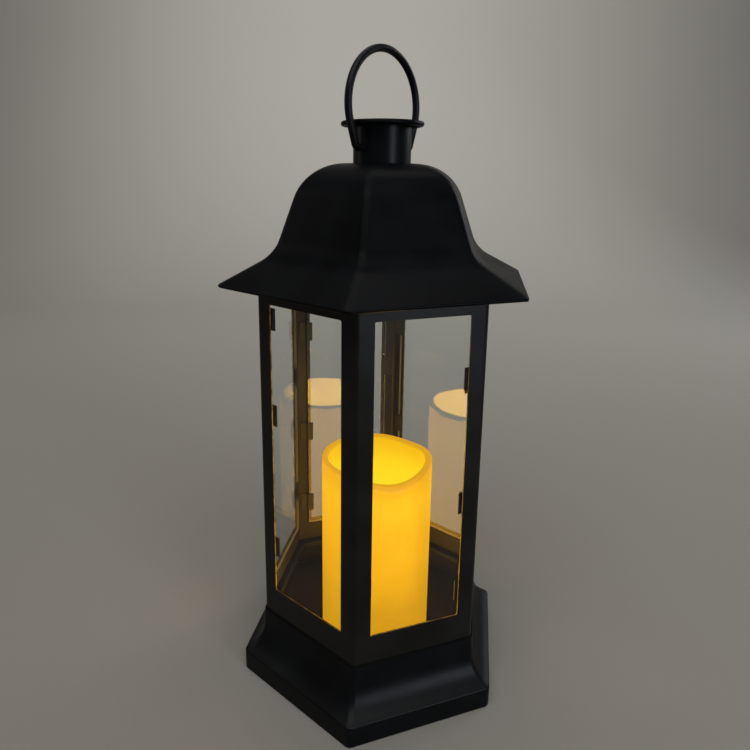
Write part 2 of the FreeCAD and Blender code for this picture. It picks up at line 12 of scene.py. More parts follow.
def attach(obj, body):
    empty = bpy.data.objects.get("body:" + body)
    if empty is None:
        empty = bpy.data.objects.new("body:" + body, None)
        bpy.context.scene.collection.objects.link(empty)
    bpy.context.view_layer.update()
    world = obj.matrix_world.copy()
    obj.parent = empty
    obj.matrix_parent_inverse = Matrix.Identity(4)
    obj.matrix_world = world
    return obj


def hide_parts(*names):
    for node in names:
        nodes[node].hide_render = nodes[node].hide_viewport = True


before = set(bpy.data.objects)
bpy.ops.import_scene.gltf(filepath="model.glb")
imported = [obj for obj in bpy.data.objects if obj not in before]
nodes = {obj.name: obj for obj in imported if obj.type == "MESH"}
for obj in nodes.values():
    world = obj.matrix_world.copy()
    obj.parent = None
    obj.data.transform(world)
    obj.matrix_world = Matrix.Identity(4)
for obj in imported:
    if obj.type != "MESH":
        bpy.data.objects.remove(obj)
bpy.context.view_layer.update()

# Base moulding.
# The skirt under the body: a foot flange, a plinth, a hollow curve and a turned-in ledge, pressed
# from one steel sheet with soft creases. Black enamel with a painted shadow line at the ledge,
# painted warm brown inside as the candle's glow.

mm = 0.001
faces = 6
half_turn = math.radians(30)
body_side = 80.0
body_apothem = body_side * math.cos(half_turn)
sheet = 0.9
arc_step = 6
crease_steps = 6
level_limit = 1e-9
weld_distance = 0.01 * mm


class Signal:
    """One output in a material's node tree, which adds and multiplies like a number."""

    def __init__(self, finish, socket):
        self.finish = finish
        self.socket = socket

    def __add__(self, other):
        return self.finish.math("ADD", self, other)

    def __radd__(self, other):
        return self.finish.math("ADD", other, self)

    def __sub__(self, other):
        return self.finish.math("SUBTRACT", self, other)

    def __rsub__(self, other):
        return self.finish.math("SUBTRACT", other, self)

    def __mul__(self, other):
        return self.finish.math("MULTIPLY", self, other)

    def __rmul__(self, other):
        return self.finish.math("MULTIPLY", other, self)

    def __gt__(self, other):
        return self.finish.math("GREATER_THAN", self, other)

    def __lt__(self, other):
        return self.finish.math("LESS_THAN", self, other)


class Finish:
    """One material, or the world, built as a tree of nodes."""

    def __init__(self, name, kinds=bpy.data.materials, output="OutputMaterial"):
        self.owner = kinds.new(name)
        self.owner.use_nodes = True
        self.tree = self.owner.node_tree
        self.tree.nodes.clear()
        self.output = output
        self.place = self.node("TexCoord", {}, {}, "Object")

    def node(self, kind, settings, inputs, output=0):
        """Adds a node: first its settings, then its sockets' numbers, colours or signals."""
        made = self.tree.nodes.new("ShaderNode" + kind)
        for name, value in settings.items():
            setattr(made, name, value)
        for name, value in inputs.items():
            if isinstance(value, Signal):
                self.tree.links.new(value.socket, made.inputs[name])
            else:
                made.inputs[name].default_value = value
        return Signal(self, made.outputs[output]) if len(made.outputs) else made

    def math(self, operation, *values):
        """Adds one step of arithmetic."""
        return self.node("Math", {"operation": operation}, dict(enumerate(values)))

    def noise(self, scale, detail, stretch=(1, 1, 1)):
        """Smooth random values from 0 to 1, with scale in features per metre."""
        spread = self.node("Mapping", {}, {"Vector": self.place, "Scale": stretch})
        return self.node("TexNoise", {}, {"Vector": spread, "Scale": scale, "Detail": detail})

    def along(self, signal, low, high, start=0.0, end=1.0):
        """Maps a signal between low and high softly to start and end."""
        return self.node("MapRange", {"interpolation_type": "SMOOTHSTEP"}, {
            "Value": signal, "From Min": low, "From Max": high, "To Min": start, "To Max": end})

    def blend(self, share, first, second):
        """Mixes two colours by a share from 0 to 1. The numbers are a colour mix's own sockets."""
        return self.node("Mix", {"data_type": "RGBA"}, {0: share, 6: first, 7: second}, 2)

    def clouded(self, clouds, dark, light):
        """A colour that drifts with clouds, which are noise."""
        return self.blend(self.along(clouds, 0.35, 0.7), dark, light)

    def height(self):
        """Height above the ground."""
        return self.node("SeparateXYZ", {}, {"Vector": self.place}, "Z")

    def radius(self):
        """Distance from the lantern's axis."""
        level = self.node("VectorMath", {"operation": "MULTIPLY"}, {0: self.place, 1: (1, 1, 0)})
        return self.node("VectorMath", {"operation": "LENGTH"}, {0: level}, "Value")

    def bump(self, height, strength, distance):
        """Normals raised by a height signal."""
        return self.node("Bump", {}, {"Height": height, "Strength": strength, "Distance": distance})

    def close(self, surface):
        """Ends the tree in a surface and gives the material or the world."""
        self.node(self.output, {}, {"Surface": surface})
        return self.owner

    def principled(self, **inputs):
        """The plain surface shader, with names written with underscores."""
        named = {name.replace("_", " "): value for name, value in inputs.items()}
        return self.node("BsdfPrincipled", {}, named)


cloud_scale = 28
peel_scale = 900
speck_scale = 2600
peel_strength = 0.10
peel_depth = 0.0002
seam_shadow_color = (0.0008, 0.0007, 0.0006, 1)
seam_shadow_roughness = 0.5


def black_enamel(name, dark, light, gloss, sheen, seam=None):
    """Satin black stove enamel with orange peel and clouds, and a painted shadow line at a seam's
    height.
    """
    finish = Finish(name)
    clouds = finish.noise(cloud_scale, 3)
    specks = finish.noise(speck_scale, 1)
    color = finish.clouded(clouds, dark, light)
    rough = finish.along(clouds + specks * 0.25, 0.4, 0.85, gloss, gloss + 0.1)
    # At the seam's height the colour is painted dark as the shadow of a gap, and made dull as by
    # grime.
    if seam:
        off = finish.math("ABSOLUTE", finish.height() - seam * mm)
        seam_shadow = finish.along(off, 0.7 * mm, 1.3 * mm, 1, 0)
        color = finish.blend(seam_shadow, color, seam_shadow_color)
        rough = rough + seam_shadow * seam_shadow_roughness
    normal = finish.bump(finish.noise(peel_scale, 2), peel_strength, peel_depth)
    return finish.close(finish.principled(
        Base_Color=color, Roughness=rough, Normal=normal, Specular_IOR_Level=sheen))


def draw_section(mesh, start, heading, moves):
    """Chains edges in the XZ plane. A move is (length,) or (radius, degrees to the left)."""
    tip = mesh.verts.new(Vector((start[0], 0, start[1])) * mm)
    angle = math.radians(heading)
    for move in moves:
        if len(move) == 1:
            along = Vector((math.cos(angle), 0, math.sin(angle)))
            tip = bmesh.ops.extrude_vert_indiv(mesh, verts=[tip])["verts"][0]
            bmesh.ops.translate(mesh, verts=[tip], vec=along * move[0] * mm)
        elif move[0] == 0:
            angle += math.radians(move[1])
        else:
            side = 1 if move[1] > 0 else -1
            across = Vector((-math.sin(angle), 0, math.cos(angle))) * side * move[0] * mm
            steps = max(2, round(abs(move[1]) / arc_step))
            arc = bmesh.ops.spin(
                mesh, geom=[tip], cent=tip.co + across, axis=(0, -1, 0), dvec=(0, 0, 0),
                angle=math.radians(move[1]), steps=steps, use_merge=False, use_duplicate=False)
            tip = arc["geom_last"][0]
            angle += math.radians(move[1])
    return tip


def carry_round(mesh, softness):
    """Carries a section drawn at a face's middle round the hexagon, and softens its creases."""
    widen = Matrix.Diagonal((1 / math.cos(half_turn), 1, 1, 1))
    to_corner = Matrix.Rotation(half_turn, 4, "Z") @ widen
    bmesh.ops.transform(mesh, matrix=to_corner, verts=mesh.verts[:])
    bmesh.ops.spin(
        mesh, geom=mesh.verts[:] + mesh.edges[:], cent=(0, 0, 0), axis=(0, 0, 1), dvec=(0, 0, 0),
        angle=2 * math.pi, steps=faces, use_merge=True, use_duplicate=False)
    creases = [
        edge for edge in mesh.edges
        if abs(edge.verts[0].co.cross(edge.verts[1].co).z) < level_limit]
    bmesh.ops.bevel(
        mesh, geom=creases, offset=softness * math.tan(half_turn) * mm, offset_type="OFFSET",
        segments=crease_steps, profile=0.5, affect="EDGES", clamp_overlap=True, loop_slide=True,
        material=-1)


def make_piece(mesh, name, material, body):
    """Closes a mesh into a piece that rides on a CAD body."""
    bmesh.ops.remove_doubles(mesh, verts=mesh.verts[:], dist=weld_distance)
    bmesh.ops.recalc_face_normals(mesh, faces=mesh.faces[:])
    for face in mesh.faces:
        face.smooth = True
    for edge in mesh.edges:
        edge.smooth = edge.is_manifold
    data = bpy.data.meshes.new(name)
    mesh.to_mesh(data)
    mesh.free()
    piece = bpy.data.objects.new(name, data)
    bpy.context.scene.collection.objects.link(piece)
    data.materials.append(material)
    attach(piece, body)
    return piece


def give_thickness(piece, thickness, lining):
    """Turns an outer skin into sheet metal, inwards, with its own finish on the inner side."""
    piece.data.materials.append(lining)
    wall = piece.modifiers.new("wall", "SOLIDIFY")
    wall.thickness = thickness * mm
    wall.offset = -1
    wall.material_offset = 1


def even_shading(piece):
    """Keeps the broad faces flat and lets only the bends shade round."""
    flat = piece.modifiers.new("flat faces", "WEIGHTED_NORMAL")
    flat.keep_sharp = True
    flat.weight = 80


plinth_reach = 13.5
plinth_height = 14.6
foot_flange = 6.5
foot_bend = 1.2
plinth_edge_bend = 1.2
plinth_edge_turn = 64
cove_radius = 19.5
cove_turn = 60
ledge_height = 44.3
ledge_bend = 1.0
ledge_width = 5.2
ledge_lip = 3.0
base_softness = 4.0

# The base's enamel has a painted shadow line at the ledge's height, where the body stands on it.
base_enamel = black_enamel(
    "base enamel", (0.0016, 0.0018, 0.0022, 1), (0.0028, 0.0032, 0.0040, 1), 0.32, 0.08,
    ledge_height)
# The inner side's enamel is painted warm brown, as the candle's glow on it.
glow_tinted_enamel = black_enamel(
    "glow tinted enamel", (0.0045, 0.0034, 0.0018, 1), (0.0075, 0.0056, 0.0028, 1), 0.42, 0.05)
wall_turn = plinth_edge_turn - cove_turn
plinth_edge_sine = math.sin(math.radians(plinth_edge_turn))
wall_sine = math.sin(math.radians(wall_turn))
plinth_rise = plinth_height - foot_bend - plinth_edge_bend * plinth_edge_sine
cove_rise = cove_radius * (plinth_edge_sine - wall_sine)
wall_rise = ledge_height - ledge_bend * (1 - wall_sine) - plinth_height - cove_rise
base = bmesh.new()
draw_section(base, (body_apothem + plinth_reach - foot_flange, 0), 0, [
    (foot_flange - foot_bend,),
    (foot_bend, 90),
    (plinth_rise,),
    (plinth_edge_bend, plinth_edge_turn),
    (cove_radius, -cove_turn),
    (wall_rise / math.cos(math.radians(wall_turn)),),
    (ledge_bend, 90 - wall_turn),
    (ledge_width - foot_bend,),
    (foot_bend, 90),
    (ledge_lip,),
])
carry_round(base, base_softness)
base_moulding = make_piece(base, "base_moulding", base_enamel, "lantern")
give_thickness(base_moulding, sheet, glow_tinted_enamel)
even_shading(base_moulding)
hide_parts("base_shell")

# Floor plate.
# The flanged hexagonal plate inside the plinth that carries the candle. Steel sheet in the same
# black enamel, painted warm brown as the candle's glow, as the base is inside.


def dress(names, material):
    """Gives CAD pieces their finish."""
    for name in names:
        slots = nodes[name].data.materials
        for place in range(len(slots)):
            slots[place] = material


dress(["floor_plate"], glow_tinted_enamel)

# Window body.
# One steel sheet bent round six corners, with six windows cut through it. Black enamel, painted
# warm brown inside as the candle's glow, rubbed thin along the cut edges, and with a painted
# shadow line, dark and dull, where the body meets the base.

window_half = 29.3
window_low = 63.0
window_high = 258.5
skin = 0.03
sill_wear = 0.3
seam_shadow_rise = 1.2
face_turns = [k * 2 * half_turn for k in range(faces // 2)]
square = math.radians(90)


def reach(finish, turn):
    """Level distance from the lantern's axis, measured along a turn's line."""
    along = finish.node("VectorMath", {"operation": "DOT_PRODUCT"}, {
        0: finish.place, 1: (math.cos(turn), math.sin(turn), 0)}, "Value")
    return finish.math("ABSOLUTE", along)


def mark_cut_edges(finish):
    """1 on the sheet's cut edges round the windows, where the paint is thin, and 0 elsewhere."""
    across = 0
    for turn in face_turns:
        near = reach(finish, turn) > (body_apothem - sheet - skin) * mm
        across = across + near * (reach(finish, turn + square) < (window_half + skin) * mm)
    height = finish.height()
    return across * (height > (window_low - skin) * mm) * (height < (window_high + skin) * mm)


def mark_inner_side(finish):
    """1 on the sheet's inner side, and 0 on its outer side."""
    farthest = 0
    for turn in face_turns:
        farthest = finish.math("MAXIMUM", farthest, reach(finish, turn))
    return farthest < (body_apothem - sheet / 2) * mm


body = Finish("body enamel")
body_clouds = body.noise(cloud_scale, 3)
sill = body.height() < (window_low + skin) * mm
thin = mark_cut_edges(body) * (1 - sill * (1 - sill_wear))
inner_side = mark_inner_side(body)
# A painted shadow line, dark and dull, along the body's foot where it meets the base.
seam_shadow = body.along(body.height(), ledge_height * mm, (ledge_height + seam_shadow_rise) * mm, 1, 0)
worn = body.blend(
    body.along(body.noise(160, 3), 0.4, 0.6), (0.06, 0.043, 0.018, 1), (0.20, 0.145, 0.055, 1))
body_black = body.clouded(body_clouds, (0.0040, 0.0037, 0.0032, 1), (0.0066, 0.0061, 0.0053, 1))
# The body's inner side is painted warm brown, as the candle's glow on it.
body_glow_tint = body.clouded(body_clouds, (0.0032, 0.0026, 0.0015, 1), (0.0056, 0.0044, 0.0026, 1))
body_color = body.blend(thin, body.blend(inner_side, body_black, body_glow_tint), worn)
body_gloss = body.along(body_clouds, 0.35, 0.7, 0.33, 0.42)
dress(["window_body"], body.close(body.principled(
    Base_Color=body.blend(seam_shadow, body_color, seam_shadow_color),
    Roughness=body_gloss + inner_side * 0.2 + seam_shadow * seam_shadow_roughness,
    Normal=body.bump(body.noise(peel_scale, 2), peel_strength, peel_depth),
    Specular_IOR_Level=0.15)))

# Panes and clips.
# Six clear panes of float glass lie behind the windows, with a thin film and a few wiped smears of
# dust, and dull ground edges. Thirty-six folded black strips hold them.

pane_half = 31.8
pane_low = 60.5
pane_high = 261.0
pane_thickness = 2.0


def mark_ground_edges(finish):
    """1 on the four ground edges of each pane, and 0 on its broad faces."""
    across = 0
    for turn in face_turns:
        near = reach(finish, turn) > (body_apothem - sheet - pane_thickness - skin) * mm
        across = across + near * (reach(finish, turn + square) > (pane_half - skin) * mm)
    height = finish.height()
    ends = (height < (pane_low + skin) * mm) + (height > (pane_high - skin) * mm)
    return finish.math("MINIMUM", across + ends, 1)


glass = Finish("clear glass")
film = glass.noise(45, 3) * 0.5 + glass.noise(420, 2) * 0.5
wave = glass.bump(glass.noise(9, 1), 0.06, 0.002)
mirror = glass.node("BsdfGlossy", {}, {
    "Color": (1.0, 1.0, 1.0, 1), "Roughness": glass.along(film, 0.3, 0.8, 0.015, 0.05),
    "Normal": wave})
clear = glass.node("BsdfTransparent", {}, {"Color": (0.975, 0.985, 0.978, 1)})
fresnel = glass.node("Fresnel", {}, {"IOR": 1.5, "Normal": wave})
entering = 1 - glass.node("NewGeometry", {}, {}, "Backfacing")
sheer = glass.node("MixShader", {}, {
    0: fresnel * entering * glass.along(film, 0.3, 0.8, 0.75, 0.92), 1: clear, 2: mirror})
smear = glass.along(glass.noise(14, 4, (1, 1, 0.4)), 0.52, 0.75, 0.0, 0.006)
dust = glass.node("BsdfDiffuse", {}, {"Color": (0.8, 0.8, 0.78, 1)})
wiped = glass.node("MixShader", {}, {0: smear, 1: sheer, 2: dust})
ground = glass.principled(
    Base_Color=(0.11, 0.11, 0.075, 1), Roughness=glass.along(film, 0.3, 0.8, 0.35, 0.5),
    Specular_IOR_Level=0.5)
dress(["pane_" + str(k + 1) for k in range(faces)], glass.close(
    glass.node("MixShader", {}, {0: mark_ground_edges(glass), 1: wiped, 2: ground})))
dress(["pane_clips"], black_enamel(
    "clip enamel", (0.006, 0.005, 0.003, 1), (0.012, 0.010, 0.006, 1), 0.45, 0.15))

# Roof.
# A six-sided bell pressed from sheet steel, with soft creases, a hem folded back under the eave
# and a round hole for the neck. Black enamel, in a darker and less shiny copy as painted shade.

roof_top = 342.0
roof_flat_apothem = 21.0
roof_shoulder_radius = 30.0
roof_flank_lean = 18
roof_flank_length = 26.0
roof_cove_radius = 24.0
eave_slope = 30
eave_reach = 20.4
hem_radius = 1.1
hem_width = 4.0
neck_radius = 18.0
neck_gap = 0.1
roof_softness = 5.0
neck_sides = 84

slope_sine = math.sin(math.radians(eave_slope))
slope_cosine = math.cos(math.radians(eave_slope))
flank_sine = math.sin(math.radians(90 - roof_flank_lean))
flank_cosine = math.cos(math.radians(90 - roof_flank_lean))
shoulder_x = roof_flat_apothem + roof_shoulder_radius * flank_sine
shoulder_z = roof_top - roof_shoulder_radius * (1 - flank_cosine)
flank_x = shoulder_x + roof_flank_length * flank_cosine
flank_z = shoulder_z - roof_flank_length * flank_sine
eave_x = flank_x + roof_cove_radius * (flank_sine - slope_sine)
eave_z = flank_z - roof_cove_radius * (slope_cosine - flank_cosine)
eave_length = (body_apothem + eave_reach - eave_x) / slope_cosine
tip_z = eave_z - eave_length * slope_sine
roof = bmesh.new()
draw_section(roof, (
    body_apothem + eave_reach - 2 * hem_radius * slope_sine - hem_width * slope_cosine,
    tip_z - 2 * hem_radius * slope_cosine + hem_width * slope_sine), -eave_slope, [
    (hem_width,),
    (hem_radius, 180),
    (eave_length,),
    (roof_cove_radius, eave_slope + roof_flank_lean - 90),
    (roof_flank_length,),
    (roof_shoulder_radius, 90 - roof_flank_lean),
    (roof_flat_apothem - neck_radius - sheet,),
])
carry_round(roof, roof_softness)
top_ring = [
    edge for edge in roof.edges
    if edge.is_boundary and edge.verts[0].co.z > (roof_top - sheet) * mm]
hole = bmesh.ops.create_circle(
    roof, cap_ends=False, segments=neck_sides, radius=(neck_radius + neck_gap) * mm,
    matrix=Matrix.Translation((0, 0, roof_top * mm)))["verts"]
hole_ring = [
    edge for edge in roof.edges if edge.verts[0] in hole and edge.verts[1] in hole]
bmesh.ops.bridge_loops(roof, edges=top_ring + hole_ring)
# A darker, less shiny copy of the black enamel, painting the shade of the dark room over the roof.
shaded_roof_enamel = black_enamel(
    "shaded roof enamel", (0.0014, 0.0016, 0.0020, 1), (0.0025, 0.0029, 0.0036, 1), 0.34, 0.03)
bell_roof = make_piece(roof, "bell_roof", shaded_roof_enamel, "lantern")
give_thickness(bell_roof, sheet, shaded_roof_enamel)
even_shading(bell_roof)
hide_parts("roof_shell")

# Neck and cap.
# The neck is a tube flanged under the roof, rolled from sheet with a folded seam down one side.
# The cap is a flat disc whose rim is rolled under, and its skirt plugs the neck.

neck_top = roof_top + 24.4
cap_radius = 25.7
roll_radius = 1.6
cap_sheet = 0.7
cap_skirt = 5.0
skirt_radius = neck_radius - sheet - neck_gap
cap_sides = 120
seam_turn = math.radians(118)
seam_width = 2.4

neck = Finish("neck enamel")
turned = neck.node("Mapping", {}, {"Vector": neck.place, "Rotation": (0, 0, seam_turn)})
off_seam = neck.node("SeparateXYZ", {}, {"Vector": turned}, "X")
seam_side = neck.node("SeparateXYZ", {}, {"Vector": turned}, "Y") > 0
seam = 0
for edge_place in (0, seam_width * mm):
    off = neck.math("ABSOLUTE", off_seam - edge_place)
    seam = seam + neck.along(off, 0.1 * mm, 0.4 * mm, 1, 0)
seam = seam * seam_side
neck_clouds = neck.noise(cloud_scale, 3)
dress(["neck_tube"], neck.close(neck.principled(
    Base_Color=neck.blend(seam, (0.0026, 0.0029, 0.0036, 1), (0.001, 0.001, 0.001, 1)),
    Roughness=neck.along(neck_clouds, 0.35, 0.7, 0.30, 0.38),
    Normal=neck.bump(neck.noise(peel_scale, 2) - seam * 1.5, 0.16, peel_depth),
    Specular_IOR_Level=0.06)))

cap = bmesh.new()
draw_section(cap, (0, neck_top + cap_sheet), 0, [
    (cap_radius - roll_radius,),
    (roll_radius, -270),
    (roll_radius - cap_sheet,),
    (0, 90),
    (cap_radius - 2 * roll_radius - skirt_radius,),
    (0, 90),
    (cap_skirt,),
    (0, -90),
    (cap_sheet,),
    (0, -90),
    (cap_skirt,),
    (0, 90),
    (skirt_radius - cap_sheet,),
])
bmesh.ops.spin(
    cap, geom=cap.verts[:] + cap.edges[:], cent=(0, 0, 0), axis=(0, 0, 1), dvec=(0, 0, 0),
    angle=2 * math.pi, steps=cap_sides, use_merge=True, use_duplicate=False)
rolled_cap = make_piece(cap, "rolled_cap", shaded_roof_enamel, "lantern")
even_shading(rolled_cap)
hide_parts("neck_cap")

# Bail.
# The carrying ring: one round steel wire, bent to a ring whose ends turn into the neck's holes,
# painted black.

wire = Finish("wire enamel")
wire_clouds = wire.noise(60, 3)
wire_color = wire.blend(
    wire.along(wire_clouds, 0.4, 0.7), (0.0020, 0.0022, 0.0027, 1), (0.0048, 0.0051, 0.0060, 1))
dress(["bail"], wire.close(wire.principled(
    Base_Color=wire_color, Roughness=wire.along(wire_clouds, 0.3, 0.7, 0.28, 0.40),
    Normal=wire.bump(wire.noise(1200, 2), 0.12, peel_depth), Specular_IOR_Level=0.08)))

# Candle.
# The pillar: a cast wax-like tube whose rim is melted into a soft dip. Its lamp shines through
# the wall from the recess, so it glows amber, brightest at the top and browner towards its foot.

candle_radius = 38.1
candle_wall = 5.0
shell_bottom = 15.0
candle_top = 146.0
lip_radius = 1.9
dip_turn = math.radians(-60)
crest = -9.5
front_drop = 7.0
front_reach = 46.5
front_power = 4.9
back_drop = 1.5
back_reach = 33.6
candle_sides = 144
melt_depth = 12.0
sag_turn = math.radians(58)
sag_width = math.radians(28)
sag_drop = 2.4
foot_fade_low = 35
foot_fade_high = 105
inner_edge_low = candle_radius - 2.6
inner_edge_high = candle_radius - 2.0
glow_strength = 0.92

wax = Finish("amber wax")
below_rim = wax.node("Attribute", {"attribute_name": "below_rim"}, {}, "Fac")
wax_height = wax.height()
wax_radius = wax.radius()
mottle = wax.noise(55, 4)
grain = wax.noise(700, 2)
glow = wax.along(wax_height + (mottle - 0.5) * 0.012, foot_fade_low * mm, foot_fade_high * mm)
outer_glow = wax.blend(glow, (0.68, 0.325, 0.002, 1), (0.93, 0.44, 0.003, 1))
shoulder = wax.along(below_rim, 0.004, 0.018) * wax.along(below_rim, 0.020, 0.050, 1, 0)
outer_glow = wax.blend(shoulder * 0.6, outer_glow, (1.02, 0.56, 0.004, 1))
# The lip's top is painted darker in its glow, as shade on its upturned face.
lip_top_shade = wax.along(below_rim, 0.0002, 0.0018, 1, 0)
outer_glow = wax.blend(lip_top_shade * 0.9, outer_glow, (0.64, 0.30, 0.008, 1))
inside = wax.along(wax_radius, inner_edge_low * mm, inner_edge_high * mm, 1, 0)
deep = wax.along(below_rim, 0.002, 0.028)
inner_glow = wax.blend(deep, (1.00, 0.55, 0.003, 1), (1.10, 0.76, 0.012, 1))
# The lip's inner rounding is painted darker in its glow, as its shadow.
inner_lip_shade = wax.along(below_rim, 0.0003, 0.0030, 1, 0)
inner_glow = wax.blend(inner_lip_shade, inner_glow, (0.80, 0.39, 0.004, 1))
wax_color = wax.clouded(mottle, (0.40, 0.17, 0.006, 1), (0.48, 0.22, 0.010, 1))
wax_material = wax.close(wax.principled(
    Base_Color=wax.blend(inside, wax_color, (0.10, 0.042, 0.002, 1)),
    Roughness=wax.along(mottle, 0.3, 0.7, 0.38, 0.50), Specular_IOR_Level=0.12,
    Emission_Color=wax.blend(inside, outer_glow, inner_glow), Emission_Strength=glow_strength,
    Normal=wax.bump(mottle + grain * 0.15, 0.10, 0.0006)))


def rim_drop(x, y):
    """How far the rim has melted down, in millimetres, at a point over the candle."""
    along = x * math.cos(dip_turn) + y * math.sin(dip_turn)
    if along > crest:
        drop = front_drop * ((along - crest) / front_reach) ** front_power
    else:
        drop = back_drop * ((crest - along) / back_reach) ** 2
    around = math.atan2(y, x) - sag_turn
    return drop + sag_drop * math.exp(-(around / sag_width) ** 2)


pillar = bmesh.new()
draw_section(pillar, (candle_radius - candle_wall, shell_bottom), 0, [
    (candle_wall,),
    (0, 90),
    (candle_top - shell_bottom - lip_radius - melt_depth,),
    (melt_depth,),
    (lip_radius, 90),
    (candle_wall - 2 * lip_radius,),
    (lip_radius, 90),
    (melt_depth,),
])
bmesh.ops.spin(
    pillar, geom=pillar.verts[:] + pillar.edges[:], cent=(0, 0, 0), axis=(0, 0, 1), dvec=(0, 0, 0),
    angle=2 * math.pi, steps=candle_sides, use_merge=True, use_duplicate=False)
ends = [edge for edge in pillar.edges if edge.is_boundary]
bmesh.ops.bridge_loops(pillar, edges=ends)
below = pillar.verts.layers.float.new("below_rim")
for vert in pillar.verts:
    vert[below] = candle_top * mm - vert.co.z
    held = min(1, max(0, (vert.co.z / mm - candle_top + lip_radius + melt_depth) / melt_depth))
    vert.co.z -= rim_drop(vert.co.x / mm, vert.co.y / mm) * held * mm
wax_pillar = make_piece(pillar, "wax_pillar", wax_material, "lantern")
even_shading(wax_pillar)
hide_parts("candle_shell")

# Candle well and lamp.
# The lit floor of the recess is a cup of frosted amber plastic. The lamp stands through it on a
# post, with two insulated leads down to the board.

cup = Finish("frosted cup")
cup_radius = cup.radius()
cup_clouds = cup.noise(90, 3)
cup_glow = cup.blend(
    cup.along(cup_radius, 4 * mm, 30 * mm), (1.10, 0.78, 0.014, 1), (1.10, 0.76, 0.012, 1))
dress(["candle_well"], cup.close(cup.principled(
    Base_Color=(0.10, 0.05, 0.004, 1), Roughness=cup.along(cup_clouds, 0.3, 0.7, 0.45, 0.6),
    Specular_IOR_Level=0.2, Emission_Color=cup_glow, Emission_Strength=glow_strength,
    Normal=cup.bump(cup_clouds, 0.05, 0.0002))))

lens = Finish("warm lens")
lens_glow = lens.blend(
    lens.along(lens.height(), 110 * mm, 118 * mm), (1.0, 0.62, 0.10, 1), (1.0, 0.86, 0.42, 1))
dress(["flame_lamp"], lens.close(lens.principled(
    Base_Color=(0.9, 0.75, 0.4, 1), Roughness=lens.along(lens.noise(600, 2), 0.3, 0.7, 0.12, 0.25),
    Emission_Color=lens_glow, Emission_Strength=2.0)))


def moulded(name, dark, light, gloss, scale):
    """Moulded plastic with a fine even texture and slight cloudiness."""
    finish = Finish(name)
    clouds = finish.noise(scale, 3)
    fine = finish.noise(scale * 14, 2)
    return finish.close(finish.principled(
        Base_Color=finish.clouded(clouds, dark, light),
        Roughness=finish.along(clouds, 0.3, 0.7, gloss, gloss + 0.12),
        Normal=finish.bump(fine, 0.2, 0.0001)))


ivory = moulded("ivory plastic", (0.64, 0.60, 0.49, 1), (0.68, 0.64, 0.53, 1), 0.42, 140)
dress(["lamp_post"], ivory)
dress(["lamp_leads"], moulded(
    "red lead", (0.42, 0.025, 0.02, 1), (0.52, 0.04, 0.03, 1), 0.38, 400))

# Foot of the candle.
# The battery housing, its bayonet lid, two cells and their nickel contacts, the slide switch and
# the small board. Ivory moulded plastic and plated steel, all below the lit well.

scratch_scale = 300
scratch_stretch = (1, 9, 1)


def plated(name, dark, light, gloss):
    """Plated metal with fine drawn scratches."""
    finish = Finish(name)
    clouds = finish.noise(scratch_scale * 0.3, 3)
    lines = finish.noise(scratch_scale, 2, scratch_stretch)
    return finish.close(finish.principled(
        Base_Color=finish.clouded(clouds, dark, light), Metallic=1.0,
        Roughness=finish.along(lines, 0.3, 0.7, gloss, gloss + 0.15),
        Normal=finish.bump(lines, 0.15, 0.0001)))


dress(["battery_housing", "battery_cover"], ivory)
dress(["switch_can"], plated("zinc steel", (0.42, 0.42, 0.43, 1), (0.56, 0.56, 0.56, 1), 0.28))
dress(["battery_contacts"], plated("nickel", (0.52, 0.50, 0.46, 1), (0.64, 0.62, 0.57, 1), 0.20))
dress(["switch_knob"], moulded(
    "black knob", (0.012, 0.012, 0.012, 1), (0.022, 0.022, 0.022, 1), 0.40, 300))
dress(["circuit_board"], moulded(
    "green laminate", (0.02, 0.10, 0.03, 1), (0.03, 0.15, 0.05, 1), 0.32, 260))

screw_ring = candle_radius - candle_wall / 2
screw_first_turn = math.radians(30)
screw_count = 3
recess_bottom = 11.0
recess_half_width = 0.35
recess_half_length = 1.6

screw = Finish("cross recess screw")
# The cross recesses are painted dark as their shade, and dented by the bump.
cross = 0
for k in range(screw_count):
    turn = screw_first_turn + k * 2 * math.pi / screw_count
    off = screw.node("VectorMath", {"operation": "SUBTRACT"}, {
        0: screw.place, 1: Vector((math.cos(turn), math.sin(turn), 0)) * screw_ring * mm})
    off = screw.node("VectorMath", {"operation": "ABSOLUTE"}, {0: off})
    off_x = screw.node("SeparateXYZ", {}, {"Vector": off}, "X")
    off_y = screw.node("SeparateXYZ", {}, {"Vector": off}, "Y")
    narrow = screw.math("MINIMUM", off_x, off_y) < recess_half_width * mm
    short = screw.math("MAXIMUM", off_x, off_y) < recess_half_length * mm
    cross = cross + narrow * short
cross = cross * (screw.height() < recess_bottom * mm)
drawn = screw.noise(scratch_scale, 2, scratch_stretch)
dress(["candle_screws"], screw.close(screw.principled(
    Base_Color=screw.blend(cross, (0.50, 0.50, 0.50, 1), (0.03, 0.03, 0.03, 1)), Metallic=1.0,
    Roughness=screw.along(drawn, 0.3, 0.7, 0.28, 0.43),
    Normal=screw.bump(drawn - cross * 4, 0.15, 0.0002))))

cells_parting = 3.4
band_start = 8
band_end = 21.2
bare_start = 22.1

